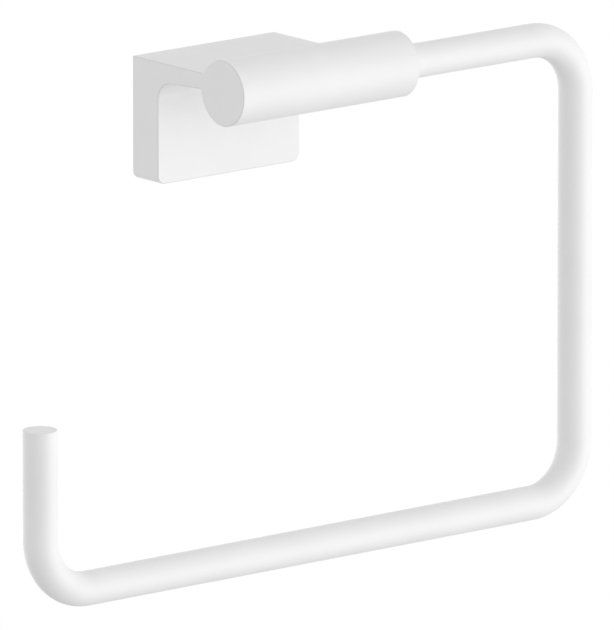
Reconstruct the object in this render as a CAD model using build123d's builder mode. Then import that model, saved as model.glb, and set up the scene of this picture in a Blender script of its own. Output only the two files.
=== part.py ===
from build123d import *
import os

# Towel holder: a bent rod hangs from a wall bracket and is open at its upper left to take a towel.
# The wall is the plane Y = 0, the front is -Y, +X is to the right and +Z is up, in millimetres.
# The origin lies on the wall, midway between the two wall screws, at the middle of the base.

# Bent rod
rod_d = 12.0
bend_r = 20.0  # to the rod's centreline
ring_width = 239.0  # between the centrelines of the two uprights
ring_drop = 164.5  # from the top run's centreline down to the bottom run's
free_leg = 58.5  # from the bottom run's centreline up to the free end
ring_overhang = 80.5  # from the bracket's left side out to the left upright's centreline
free_end_edge_r = 0.3

# Base of the bracket, a shell that is open towards the wall
base_width = 62.9
base_height = 43.2
base_depth = 13.5
base_wall = 3.0
base_front = 3.0
base_corner_r = 3.0  # the two lower corners
edge_chamfer = 0.2  # breaks the casting's outer edges

# Arm and barrel
arm_root_thickness = 7.1  # at the base's front; the underside slopes from there to the barrel
arm_tip_thickness = 5.0  # at the barrel's axis
arm_root_r = 7.0  # hollow curve from the base's front into the arm's underside
neck_r = 0.8  # hollow curves from the arm into the barrel
barrel_d = 23.0
barrel_length = 78.4
barrel_reach = 48.5  # from the wall to the barrel's axis
axis_below_top = 5.4  # from the arm's top down to the barrel's axis
socket_depth = 50.0  # how far the rod goes into the barrel

# Wall plate: the base hooks over its bevelled upper edge and is drawn in at its bevelled lower edge
plate_lip = 3.0  # thickness of the unbevelled front part
plate_corner_r = 2.0
plate_side_gap = 3.0
plate_front_gap = 1.5
plate_top_gap = 0.5
plate_block_gap = 1.0  # above the thickened floor that the lower screw runs in
wall_screw_spacing = 30.0
wall_screw_hole_d = 5.0
wall_screw_head_d = 9.5
wall_screw_head_depth = 5.0

# Headless screws with a hexagon socket
grub_d = 4.0
grub_tip_flat = 0.4  # radius of the flat at the end of the cone point
grub_tip_room = 0.5  # between the cone point and the plate's back part
grub_edge = 0.4  # chamfer of the flat point
key_sides = 6
key_across_flats = 2.0
key_depth = 2.0
plate_grub_recess = 0.5  # below the base's underside
rod_grub_recess = 1.0  # inside the barrel's lowest line
rod_grub_inset = 15.0  # from the barrel's right end
rod_flat_depth = 0.5  # milled flat that the rod's screw bears on
rod_flat_length = 8.0
grub_block_width = 10.0
grub_block_height = 3.0

# Fits
slip = 0.05  # around the rod in its socket and around the screws in their holes
seat_gap = 0.1  # between a bevel and what bears on it

# Places that follow from the sizes above
base_left = -base_width / 2
base_top = base_height / 2
base_bottom = -base_height / 2
arm_root_under = base_top - arm_root_thickness
arm_tip_under = base_top - arm_tip_thickness
barrel_z = base_top - axis_below_top
barrel_right = base_left + barrel_length
barrel_lowest = barrel_z - barrel_d / 2
hollow_width = base_width - 2 * base_wall
hollow_top = base_top - base_wall
hollow_bottom = base_bottom + base_wall
hollow_depth = base_depth - base_front
ring_left = base_left - ring_overhang
ring_right = ring_left + ring_width
ring_bottom = barrel_z - ring_drop

# The bevel is as deep as the cone point that bears on it, with room behind the point
bevel = grub_d / 2 + grub_tip_room
plate_thickness = hollow_depth - plate_front_gap
plate_width = hollow_width - 2 * plate_side_gap
plate_top = hollow_top - plate_top_gap
plate_bottom = hollow_bottom + grub_block_height + plate_block_gap
lip_back = -(plate_thickness - plate_lip)
bevel_back = lip_back + bevel
hook_under = plate_top - bevel + seat_gap
hook_front = bevel_back - (hollow_top - hook_under)

# Screws and their holes
grub_hole_r = grub_d / 2 + slip
cone_length = grub_d / 2 - grub_tip_flat
plate_grub_y = lip_back + grub_d / 2
plate_grub_start = base_bottom + plate_grub_recess
plate_grub_tip = plate_bottom - seat_gap + cone_length
rod_grub_x = barrel_right - rod_grub_inset
rod_grub_start = barrel_lowest + rod_grub_recess
rod_flat_z = barrel_z - rod_d / 2 + rod_flat_depth


def grub_screw(centre, start_z, tip_z, tip_chamfer):
    """A headless screw that stands upright, with its key socket at the lower end."""
    with BuildPart() as screw:
        with BuildSketch(Plane.XY.offset(start_z)):
            with Locations(centre):
                Circle(grub_d / 2)
        extrude(amount=tip_z - start_z)
        chamfer(screw.edges().filter_by(GeomType.CIRCLE).sort_by(Axis.Z)[-1], tip_chamfer)
        with BuildSketch(Plane.XY.offset(start_z)):
            with Locations(centre):
                RegularPolygon(key_across_flats / 2, side_count=key_sides, major_radius=False)
        extrude(amount=key_depth, mode=Mode.SUBTRACT)
    return screw.part


# Wall bracket: base, arm and barrel in one casting
with BuildPart() as wall_bracket:
    # The view from the side, run over the width of the base
    with BuildSketch(Plane.YZ.offset(base_left)) as side_view:
        with Locations((-base_depth / 2, 0)):
            Rectangle(base_depth, base_height)
        with BuildLine():
            Polyline(
                (-base_depth, base_top),
                (-barrel_reach, base_top),
                (-barrel_reach, arm_tip_under),
                (-base_depth, arm_root_under),
                close=True,
            )
        make_face()
        with Locations((-barrel_reach, barrel_z)):
            Circle(barrel_d / 2)
        arm_root = side_view.vertices().sort_by_distance((-base_depth, arm_root_under))[0]
        fillet(arm_root, arm_root_r)
        necks = side_view.vertices().sort_by_distance((-barrel_reach, barrel_z))[:2]
        fillet(necks, neck_r)
    extrude(amount=base_width)
    fillet(wall_bracket.edges().filter_by(Axis.Y).group_by(Axis.Z)[0], base_corner_r)

    # Outer edges, apart from those on the wall and the smooth ones at the lower corners
    front_face = wall_bracket.faces().filter_by(Axis.Y).sort_by(Axis.Y)[0]
    outer_edges = front_face.edges().sort_by(Axis.Z)[:3]
    edges_across = wall_bracket.edges().group_by(Axis.X)
    for side_edges in (edges_across[0], edges_across[-1]):
        outer_edges += side_edges.sort_by(Axis.Y)[:-1].sort_by(Axis.Z)[1:]
    chamfer(outer_edges, edge_chamfer)

    # The barrel runs on past the right side of the base
    with BuildSketch(Plane.YZ):
        with Locations((-barrel_reach, barrel_z)):
            Circle(barrel_d / 2)
    extrude(amount=barrel_right)
    chamfer(wall_bracket.edges().filter_by(GeomType.CIRCLE).sort_by(Axis.X)[-1], edge_chamfer)

    # Socket for the rod
    with BuildSketch(Plane.YZ.offset(barrel_right)):
        with Locations((-barrel_reach, barrel_z)):
            Circle(rod_d / 2 + slip)
    extrude(amount=-socket_depth, mode=Mode.SUBTRACT)

    # Hollow at the back, with a hook along its top that reaches behind the plate's upper bevel
    with BuildSketch(Plane.YZ.offset(-hollow_width / 2)):
        with BuildLine():
            Polyline(
                (0, hook_under),
                (bevel_back, hook_under),
                (hook_front, hollow_top),
                (-hollow_depth, hollow_top),
                (-hollow_depth, hollow_bottom),
                (0, hollow_bottom),
                close=True,
            )
        make_face()
    extrude(amount=hollow_width, mode=Mode.SUBTRACT)

    # Thickened floor with the hole for the lower screw
    with Locations((0, -hollow_depth / 2, hollow_bottom + grub_block_height / 2)):
        Box(grub_block_width, hollow_depth, grub_block_height)
    with BuildSketch(Plane.XY.offset(base_bottom)):
        with Locations((0, plate_grub_y)):
            Circle(grub_hole_r)
    extrude(amount=base_wall + grub_block_height, mode=Mode.SUBTRACT)

    # Hole under the barrel for the rod's screw
    with BuildSketch(Plane.XY.offset(barrel_lowest)):
        with Locations((rod_grub_x, -barrel_reach)):
            Circle(grub_hole_r)
    extrude(amount=barrel_d / 2, mode=Mode.SUBTRACT)
wall_bracket.part.label = "wall_bracket"

# Towel ring: one rod with three bends, from the bottom of its socket to the free end
with BuildPart() as towel_ring:
    with BuildLine() as rod_path:
        FilletPolyline(
            (barrel_right - socket_depth, -barrel_reach, barrel_z),
            (ring_right, -barrel_reach, barrel_z),
            (ring_right, -barrel_reach, ring_bottom),
            (ring_left, -barrel_reach, ring_bottom),
            (ring_left, -barrel_reach, ring_bottom + free_leg),
            radius=bend_r,
        )
    with BuildSketch(Plane(origin=rod_path.line @ 0, z_dir=rod_path.line % 0)):
        Circle(rod_d / 2)
    sweep()
    free_end = towel_ring.faces().sort_by_distance(rod_path.line @ 1)[0]
    fillet(free_end.edges(), free_end_edge_r)
    # Flat for the screw, on the underside of the end in the socket
    with Locations((rod_grub_x, -barrel_reach, rod_flat_z)):
        Box(
            rod_flat_length,
            rod_d,
            rod_flat_depth,
            align=(Align.CENTER, Align.CENTER, Align.MAX),
            mode=Mode.SUBTRACT,
        )
towel_ring.part.label = "towel_ring"

# Wall plate, fixed with two screws and hidden in the base
with BuildPart() as wall_plate:
    with BuildSketch(Plane.YZ.offset(-plate_width / 2)):
        with BuildLine():
            Polyline(
                (0, plate_top - bevel),
                (bevel_back, plate_top - bevel),
                (lip_back, plate_top),
                (-plate_thickness, plate_top),
                (-plate_thickness, plate_bottom),
                (lip_back, plate_bottom),
                (bevel_back, plate_bottom + bevel),
                (0, plate_bottom + bevel),
                close=True,
            )
        make_face()
    extrude(amount=plate_width)
    lip_corners = wall_plate.edges().filter_by(Axis.Y).group_by(Axis.Y)[0]
    fillet(lip_corners, plate_corner_r)
    with Locations(Plane.XZ.offset(plate_thickness)):
        with GridLocations(wall_screw_spacing, 0, 2, 1):
            CounterBoreHole(wall_screw_hole_d / 2, wall_screw_head_d / 2, wall_screw_head_depth)
wall_plate.part.label = "wall_plate"

# The two headless screws
plate_grub_screw = grub_screw((0, plate_grub_y), plate_grub_start, plate_grub_tip, cone_length)
plate_grub_screw.label = "plate_grub_screw"
rod_grub_screw = grub_screw((rod_grub_x, -barrel_reach), rod_grub_start, rod_flat_z, grub_edge)
rod_grub_screw.label = "rod_grub_screw"

os.makedirs("parts", exist_ok=True)
export_step(wall_bracket.part, "parts/wall_bracket.step")
export_step(towel_ring.part, "parts/towel_ring.step")
export_step(wall_plate.part, "parts/wall_plate.step")
export_step(plate_grub_screw, "parts/plate_grub_screw.step")
export_step(rod_grub_screw, "parts/rod_grub_screw.step")
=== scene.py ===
import math

import bmesh
import bpy
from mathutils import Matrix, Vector


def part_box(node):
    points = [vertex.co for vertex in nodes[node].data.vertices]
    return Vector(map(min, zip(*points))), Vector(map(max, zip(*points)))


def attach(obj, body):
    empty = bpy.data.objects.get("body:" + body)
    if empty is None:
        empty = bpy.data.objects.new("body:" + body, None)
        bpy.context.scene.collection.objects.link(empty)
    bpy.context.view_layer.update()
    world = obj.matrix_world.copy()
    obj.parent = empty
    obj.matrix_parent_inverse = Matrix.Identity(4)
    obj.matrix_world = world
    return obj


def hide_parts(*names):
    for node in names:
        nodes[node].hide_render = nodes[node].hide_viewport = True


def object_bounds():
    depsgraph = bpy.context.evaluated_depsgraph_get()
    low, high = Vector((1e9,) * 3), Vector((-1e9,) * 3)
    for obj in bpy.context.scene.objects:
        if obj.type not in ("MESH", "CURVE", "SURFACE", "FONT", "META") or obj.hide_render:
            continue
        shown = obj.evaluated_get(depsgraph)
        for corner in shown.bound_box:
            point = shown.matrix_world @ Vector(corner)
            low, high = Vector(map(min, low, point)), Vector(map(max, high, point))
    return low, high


# Towel holder in white powder coat, in metres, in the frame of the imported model.
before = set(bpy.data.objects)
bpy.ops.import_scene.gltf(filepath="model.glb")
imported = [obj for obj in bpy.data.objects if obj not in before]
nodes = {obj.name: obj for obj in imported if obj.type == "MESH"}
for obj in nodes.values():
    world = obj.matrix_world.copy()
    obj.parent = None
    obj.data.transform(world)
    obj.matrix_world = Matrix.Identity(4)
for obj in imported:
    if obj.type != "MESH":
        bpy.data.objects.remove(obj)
cad_low, cad_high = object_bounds()

# Bent rod
rod_r = 0.006
bend_r = 0.020  # to the rod's centreline
free_leg = 0.0585  # from the bottom run's centreline up to the free end
free_end_edge_r = 0.0003
socket_depth = 0.050
flat_depth = 0.0005  # milled flat under the end in the socket
flat_length = 0.008
flat_inset = 0.015  # from the barrel's right end to the middle of the flat
rod_sides = 96
bend_steps = 32
edge_steps = 4
rod_crease = math.radians(40)

# Headless screws, with a hexagon socket at the lower end
thread_pitch = 0.0007
thread_depth = 0.00043
# The thread's edges, as shares of the pitch and of the depth
thread_edges = ((0.0, 0.0), (0.125, 0.0), (0.4375, 1.0), (0.6875, 1.0))
turns_past_tip = 3  # so that the last row has a row above it too
screw_foot_r = 0.0015  # inside the chamfer around the socket
cone_tip_r = 0.0004
flat_tip_r = 0.0016
key_apothem = 0.001
key_depth = 0.002
key_sector = math.pi / 3  # between two corners of the hexagon
screw_sides = 48
screw_crease = math.radians(25)

# White powder coat
coat_ior = 1.5
patch_scale = 60.0
patch_detail = 3.0
patch_greys = (0.868, 0.892)
patch_places = (0.3, 0.7)  # where the noise reaches these greys
coat_roughness = (0.42, 0.52)
soft_edge_r = 0.0003
soft_edge_samples = 8
# Painted shade along edges: the coat's grey is darkened where the softened normal turns away from the
# face's
edge_shade_turn = (0.90, 0.995)  # cosine of the softened normal's turn, at an edge and on a face
edge_shade_share = 0.72  # of the coat's grey, at an edge, where the painted shade is darkest
peel_scale = 2200.0
peel_detail = 2.0
peel_strength = 0.08
peel_height = 0.00005

# Steel of the plate and the screws
plate_colours = ((0.52, 0.52, 0.53), (0.66, 0.66, 0.67))
plate_roughness = 0.45
plate_stretch = (60.0, 1500.0, 1500.0)
screw_colours = ((0.40, 0.40, 0.41), (0.56, 0.56, 0.57))
screw_roughness = 0.35
screw_stretch = (700.0, 700.0, 2500.0)
roughness_spread = 0.08
line_detail = 4.0
line_strength = 0.1
line_height = 0.00005

# Camera, at the place that fits the photograph's edges
eye_azimuth = math.radians(-39.654)
eye_elevation = math.radians(12.66)
eye_distance = 6.2214
eye_target = Vector((0.00286, -0.05229, -0.06558))
sensor_mm = 36.0
focal_pixels = 18100.0
image_long_side = 630.0
view_reach = 100.0

# Light: even all round, a large round key lamp at the right and a weaker one behind
ambient = 0.738
lamp_distance = 4.0
lamp_size = 4.5
key_irradiance = 1.49  # on a surface that faces it, if the lamp were small
key_azimuth = math.radians(42.0)
key_elevation = math.radians(-8.0)
back_irradiance = 0.78
back_azimuth = math.radians(172.0)
back_elevation = math.radians(-12.0)

# Floor, well below a holder that hangs on a wall
floor_drop = 3.0
floor_solid_r = 2.5  # from here outwards the floor fades into the background
floor_r = 5.6
floor_sides = 96
floor_grey = 0.6


def direction(azimuth, elevation):
    """Unit vector from the object towards a place that is seen at this azimuth and elevation."""
    flat = math.cos(elevation)
    return Vector((math.sin(azimuth) * flat, -math.cos(azimuth) * flat, math.sin(elevation)))


def add_object(name, data):
    """A new object for a mesh, a lamp or a camera, in the scene."""
    made = bpy.data.objects.new(name, data)
    bpy.context.scene.collection.objects.link(made)
    return made


def finish_mesh(bm, name, crease):
    """An object with smooth shading, apart from edges that are sharper than the crease."""
    bmesh.ops.recalc_face_normals(bm, faces=bm.faces)
    mesh = bpy.data.meshes.new(name)
    bm.to_mesh(mesh)
    bm.free()
    mesh.shade_smooth()
    mesh.set_sharp_from_angle(angle=crease)
    made = add_object(name, mesh)
    made.modifiers.new("even_shading", "WEIGHTED_NORMAL").keep_sharp = True
    return made


def closed(row):
    """A round of vertices that ends where it starts."""
    return row + row[:1]


def strip(bm, lower, upper):
    """Faces between two rows of vertices, which may share some of them."""
    for around in zip(lower, lower[1:], upper[1:], upper):
        corners = list(dict.fromkeys(around))
        if len(corners) > 2:
            bm.faces.new(corners)


def rod_stations():
    """Points on the rod's centreline with its heading, from the socket to the free end."""
    low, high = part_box("towel_ring")
    y = (low.y + high.y) / 2
    left, right = low.x + rod_r, high.x - rod_r
    top, bottom = high.z - rod_r, low.z + rod_r
    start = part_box("wall_bracket")[1].x - socket_depth
    corners = [
        Vector((start, y, top)),
        Vector((right, y, top)),
        Vector((right, y, bottom)),
        Vector((left, y, bottom)),
        Vector((left, y, bottom + free_leg)),
    ]
    stations = [(corners[0], (corners[1] - corners[0]).normalized())]
    for before, corner, after in zip(corners, corners[1:], corners[2:]):
        heading = (corner - before).normalized()
        turned = (after - corner).normalized()
        centre = corner - heading * bend_r + turned * bend_r
        for step in range(bend_steps + 1):
            angle = math.pi / 2 * step / bend_steps
            outward = heading * math.sin(angle) - turned * math.cos(angle)
            along = heading * math.cos(angle) + turned * math.sin(angle)
            stations.append((centre + outward * bend_r, along))
    stations.append((corners[-1], (corners[-1] - corners[-2]).normalized()))
    return stations


def rod_round(bm, centre, heading, radius):
    """One round of vertices across the rod."""
    side = Vector((0, 1, 0))
    up = side.cross(heading)
    row = []
    for step in range(rod_sides):
        angle = 2 * math.pi * step / rod_sides
        row.append(bm.verts.new(centre + (up * math.cos(angle) + side * math.sin(angle)) * radius))
    return row


def flattened(bm, row, level):
    """The round with what hangs below the level lifted to it, and the other vertices shared."""
    return [v if v.co.z >= level else bm.verts.new((v.co.x, v.co.y, level)) for v in row]


def flat_rounds(bm, start, heading):
    """Rounds at the two ends of the milled flat that the screw bears on."""
    level = start.z - rod_r + flat_depth
    middle = start + heading * (socket_depth - flat_inset)
    near = rod_round(bm, middle - heading * flat_length / 2, heading, rod_r)
    far = rod_round(bm, middle + heading * flat_length / 2, heading, rod_r)
    return [near, flattened(bm, near, level), flattened(bm, far, level), far]


def build_rod():
    """The bent rod as one tube with a rounded free end and a flat end in its socket."""
    bm = bmesh.new()
    stations = rod_stations()
    rounds = [rod_round(bm, *stations[0], rod_r)]
    rounds += flat_rounds(bm, *stations[0])
    rounds += [rod_round(bm, centre, heading, rod_r) for centre, heading in stations[1:-1]]
    tip, heading = stations[-1]
    for step in range(edge_steps + 1):
        angle = math.pi / 2 * step / edge_steps
        inset = free_end_edge_r * (1 - math.cos(angle))
        drop = free_end_edge_r * (1 - math.sin(angle))
        rounds.append(rod_round(bm, tip - heading * drop, heading, rod_r - inset))
    for lower, upper in zip(rounds, rounds[1:]):
        strip(bm, closed(lower), closed(upper))
    bm.faces.new(rounds[0])
    bm.faces.new(rounds[-1])
    return finish_mesh(bm, "bent_rod", rod_crease)


def screw_vertex(bm, axis, radius, angle, z):
    """A vertex at this distance and angle about the screw's axis."""
    return bm.verts.new((axis.x + radius * math.cos(angle), axis.y + radius * math.sin(angle), z))


def screw_round(bm, axis, z, radius_at):
    """One level round of vertices about the screw's axis."""
    angles = [2 * math.pi * step / screw_sides for step in range(screw_sides)]
    return [screw_vertex(bm, axis, radius_at(angle), angle, z) for angle in angles]


def hexagon_radius(angle):
    """Distance from the screw's axis to the side of its hexagon socket."""
    return key_apothem / math.cos(angle % key_sector - key_sector / 2)


def thread_rows(bm, low, high, tip_r, foot, tip):
    """Rows of vertices that climb along the thread's edges, held between the foot and the tip."""
    axis = (low + high) / 2
    outer_r = (high.x - low.x) / 2
    turns = math.ceil((high.z - low.z) / thread_pitch) + turns_past_tip
    rows = []
    for turn in range(-1, turns):
        for place, share in thread_edges:
            row = []
            for step in range(screw_sides):
                z = low.z + thread_pitch * (turn + place + step / screw_sides)
                if z <= low.z:
                    row.append(foot[step])
                elif z >= high.z:
                    row.append(tip[step])
                else:
                    angle = 2 * math.pi * step / screw_sides
                    ends = min(screw_foot_r + z - low.z, tip_r + high.z - z)
                    radius = min(outer_r - thread_depth * share, ends)
                    row.append(screw_vertex(bm, axis, radius, angle, z))
            rows.append(row)
    return rows


def build_screw(name, node, tip_r):
    """A headless screw with its real thread, a chamfered foot with a hexagon socket, and a point."""
    bm = bmesh.new()
    low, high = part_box(node)
    axis = (low + high) / 2
    foot = screw_round(bm, axis, low.z, lambda angle: screw_foot_r)
    tip = screw_round(bm, axis, high.z, lambda angle: tip_r)
    rows = thread_rows(bm, low, high, tip_r, foot, tip)
    # A row's end runs on into the row that is one turn above it
    turn = len(thread_edges)
    spiral = [row + above[:1] for row, above in zip(rows, rows[turn:])]
    for lower, upper in zip(spiral, spiral[1:]):
        strip(bm, lower, upper)
    rim = screw_round(bm, axis, low.z, hexagon_radius)
    seat = screw_round(bm, axis, low.z + key_depth, hexagon_radius)
    strip(bm, closed(foot), closed(rim))
    strip(bm, closed(rim), closed(seat))
    bm.faces.new(seat)
    bm.faces.new(tip)
    return finish_mesh(bm, name, screw_crease)


def new_material(name):
    """A new node material, with its nodes and links."""
    material = bpy.data.materials.new(name)
    material.use_nodes = True
    return material, material.node_tree.nodes, material.node_tree.links


def painted_edge_shade(tree, links, softened):
    """1 on open faces, and a little less along edges, where painted shade darkens the coat's grey."""
    surface = tree.new("ShaderNodeNewGeometry")
    turn = tree.new("ShaderNodeVectorMath")
    turn.operation = "DOT_PRODUCT"
    tone = tree.new("ShaderNodeMapRange")
    tone.inputs["From Min"].default_value = edge_shade_turn[0]
    tone.inputs["From Max"].default_value = edge_shade_turn[1]
    tone.inputs["To Min"].default_value = edge_shade_share
    tone.inputs["To Max"].default_value = 1.0
    links.new(surface.outputs["Normal"], turn.inputs[0])
    links.new(softened, turn.inputs[1])
    links.new(turn.outputs["Value"], tone.inputs["Value"])
    return tone.outputs["Result"]


def coat_colour(tree, links, patches, softened):
    """White in faint patches, and a little darker along edges, where the shade is painted."""
    colour = tree.new("ShaderNodeValToRGB")
    for element, place, grey in zip(colour.color_ramp.elements, patch_places, patch_greys):
        element.position = place
        element.color = (grey, grey, grey, 1)
    edge_shaded = tree.new("ShaderNodeVectorMath")
    edge_shaded.operation = "SCALE"
    links.new(patches, colour.inputs["Fac"])
    links.new(colour.outputs["Color"], edge_shaded.inputs["Vector"])
    links.new(painted_edge_shade(tree, links, softened), edge_shaded.inputs["Scale"])
    return edge_shaded.outputs["Vector"]


def orange_peel(tree, links, place, softened):
    """The softened normal with the coat's fine dimples."""
    peel = tree.new("ShaderNodeTexNoise")
    peel.inputs["Scale"].default_value = peel_scale
    peel.inputs["Detail"].default_value = peel_detail
    bump = tree.new("ShaderNodeBump")
    bump.inputs["Strength"].default_value = peel_strength
    bump.inputs["Distance"].default_value = peel_height
    links.new(place, peel.inputs["Vector"])
    links.new(peel.outputs["Fac"], bump.inputs["Height"])
    links.new(softened, bump.inputs["Normal"])
    return bump.outputs["Normal"]


def powder_coat():
    """White powder coat: satin, with a fine orange peel, an uneven sheen and painted shade along its
    edges.
    """
    material, tree, links = new_material("white_powder_coat")
    shader = tree["Principled BSDF"]
    shader.inputs["IOR"].default_value = coat_ior
    place = tree.new("ShaderNodeTexCoord").outputs["Object"]
    soft_edge = tree.new("ShaderNodeBevel")
    soft_edge.samples = soft_edge_samples
    soft_edge.inputs["Radius"].default_value = soft_edge_r
    softened = soft_edge.outputs["Normal"]
    patches = tree.new("ShaderNodeTexNoise")
    patches.inputs["Scale"].default_value = patch_scale
    patches.inputs["Detail"].default_value = patch_detail
    sheen = tree.new("ShaderNodeMapRange")
    sheen.inputs["To Min"].default_value = coat_roughness[0]
    sheen.inputs["To Max"].default_value = coat_roughness[1]
    links.new(place, patches.inputs["Vector"])
    links.new(patches.outputs["Fac"], sheen.inputs["Value"])
    links.new(coat_colour(tree, links, patches.outputs["Fac"], softened), shader.inputs["Base Color"])
    links.new(sheen.outputs["Result"], shader.inputs["Roughness"])
    links.new(orange_peel(tree, links, place, softened), shader.inputs["Normal"])
    return material


def metal(name, colours, roughness, stretch_by):
    """Bare metal with faint lines across its stretch and an uneven sheen."""
    material, tree, links = new_material(name)
    shader = tree["Principled BSDF"]
    shader.inputs["Metallic"].default_value = 1.0
    place = tree.new("ShaderNodeTexCoord")
    stretch = tree.new("ShaderNodeMapping")
    stretch.inputs["Scale"].default_value = stretch_by
    lines = tree.new("ShaderNodeTexNoise")
    lines.inputs["Scale"].default_value = 1.0
    lines.inputs["Detail"].default_value = line_detail
    colour = tree.new("ShaderNodeValToRGB")
    for element, shade in zip(colour.color_ramp.elements, colours):
        element.color = (*shade, 1)
    sheen = tree.new("ShaderNodeMapRange")
    sheen.inputs["To Min"].default_value = roughness - roughness_spread
    sheen.inputs["To Max"].default_value = roughness + roughness_spread
    bump = tree.new("ShaderNodeBump")
    bump.inputs["Strength"].default_value = line_strength
    bump.inputs["Distance"].default_value = line_height
    links.new(place.outputs["Object"], stretch.inputs["Vector"])
    links.new(stretch.outputs["Vector"], lines.inputs["Vector"])
    links.new(lines.outputs["Fac"], colour.inputs["Fac"])
    links.new(lines.outputs["Fac"], sheen.inputs["Value"])
    links.new(lines.outputs["Fac"], bump.inputs["Height"])
    links.new(colour.outputs["Color"], shader.inputs["Base Color"])
    links.new(sheen.outputs["Result"], shader.inputs["Roughness"])
    links.new(bump.outputs["Normal"], shader.inputs["Normal"])
    return material


def dress(piece, material):
    """Gives a piece one material."""
    piece.data.materials.clear()
    piece.data.materials.append(material)


def stand_for(piece, node, material):
    """Puts a finished piece in the place of its plainer solid."""
    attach(piece, "root")
    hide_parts(node)
    dress(piece, material)


def greater(tree, links, first, second):
    """The greater of two values."""
    node = tree.new("ShaderNodeMath")
    node.operation = "MAXIMUM"
    links.new(first, node.inputs[0])
    links.new(second, node.inputs[1])
    return node.outputs["Value"]


def seen_directly(tree, links):
    """1 where a camera, glossy or transmission ray arrives, and 0 for the light on the object."""
    path = tree.new("ShaderNodeLightPath")
    seen = greater(tree, links, path.outputs["Is Camera Ray"], path.outputs["Is Glossy Ray"])
    return greater(tree, links, seen, path.outputs["Is Transmission Ray"])


def light_world():
    """Even soft light from all round, in front of a white background."""
    world = bpy.data.worlds.new("studio")
    world.use_nodes = True
    tree, links = world.node_tree.nodes, world.node_tree.links
    shade = tree.new("ShaderNodeMapRange")
    shade.inputs["To Min"].default_value = ambient
    shade.inputs["To Max"].default_value = 1.0
    links.new(seen_directly(tree, links), shade.inputs["Value"])
    links.new(shade.outputs["Result"], tree["Background"].inputs["Strength"])
    tree["Background"].inputs["Color"].default_value = (1, 1, 1, 1)
    bpy.context.scene.world = world


def add_lamp(name, irradiance, azimuth, elevation):
    """A soft round lamp that faces the object."""
    lamp = bpy.data.lights.new(name, "AREA")
    lamp.shape = "DISK"
    lamp.size = lamp_size
    lamp.energy = irradiance * math.pi * lamp_distance**2
    made = add_object(name, lamp)
    towards = direction(azimuth, elevation)
    made.location = (cad_low + cad_high) / 2 + towards * lamp_distance
    made.rotation_euler = towards.to_track_quat("Z", "Y").to_euler()
    made.visible_camera = False


def pale_floor():
    """Plain matt grey, which isn't there from underneath, and fades out towards the rim."""
    material, tree, links = new_material("pale_floor")
    shader = tree["Principled BSDF"]
    shader.inputs["Base Color"].default_value = (floor_grey, floor_grey, floor_grey, 1)
    shader.inputs["Roughness"].default_value = 1.0
    shader.inputs["Specular IOR Level"].default_value = 0.0
    place = tree.new("ShaderNodeTexCoord")
    distance = tree.new("ShaderNodeVectorMath")
    distance.operation = "LENGTH"
    fade = tree.new("ShaderNodeMapRange")
    fade.interpolation_type = "SMOOTHSTEP"
    fade.inputs["From Min"].default_value = floor_solid_r
    fade.inputs["From Max"].default_value = floor_r
    side = tree.new("ShaderNodeNewGeometry")
    clear = tree.new("ShaderNodeBsdfTransparent")
    mix = tree.new("ShaderNodeMixShader")
    links.new(place.outputs["Object"], distance.inputs[0])
    links.new(distance.outputs["Value"], fade.inputs["Value"])
    gone = greater(tree, links, fade.outputs["Result"], side.outputs["Backfacing"])
    links.new(gone, mix.inputs["Fac"])
    links.new(shader.outputs["BSDF"], mix.inputs[1])
    links.new(clear.outputs["BSDF"], mix.inputs[2])
    links.new(mix.outputs["Shader"], tree["Material Output"].inputs["Surface"])
    return material


def add_floor():
    """A plain pale floor below the object, which takes its shadow."""
    angles = [2 * math.pi * step / floor_sides for step in range(floor_sides)]
    rim = [(floor_r * math.cos(angle), floor_r * math.sin(angle), 0) for angle in angles]
    mesh = bpy.data.meshes.new("floor")
    mesh.from_pydata(rim, [], [range(floor_sides)])
    floor = add_object("floor", mesh)
    floor.location.z = cad_low.z - floor_drop
    dress(floor, pale_floor())


def add_camera():
    """The photograph's long lens, with no shift."""
    lens = bpy.data.cameras.new("camera")
    lens.sensor_width = sensor_mm
    lens.lens = focal_pixels * sensor_mm / image_long_side
    lens.clip_end = view_reach
    camera = add_object("camera", lens)
    back = direction(eye_azimuth, eye_elevation)
    camera.location = eye_target + back * eye_distance
    camera.rotation_euler = back.to_track_quat("Z", "Y").to_euler()
    bpy.context.scene.camera = camera


coat = powder_coat()
plate_steel = metal("plate_steel", plate_colours, plate_roughness, plate_stretch)
screw_steel = metal("screw_steel", screw_colours, screw_roughness, screw_stretch)
ring = build_rod()
plate_grub = build_screw("threaded_plate_grub", "plate_grub_screw", cone_tip_r)
rod_grub = build_screw("threaded_rod_grub", "rod_grub_screw", flat_tip_r)

stand_for(ring, "towel_ring", coat)
stand_for(plate_grub, "plate_grub_screw", screw_steel)
stand_for(rod_grub, "rod_grub_screw", screw_steel)
dress(nodes["wall_bracket"], coat)
dress(nodes["wall_plate"], plate_steel)

add_floor()
light_world()
add_lamp("key", key_irradiance, key_azimuth, key_elevation)
add_lamp("back", back_irradiance, back_azimuth, back_elevation)
add_camera()
bpy.context.scene.view_settings.view_transform = "Standard"
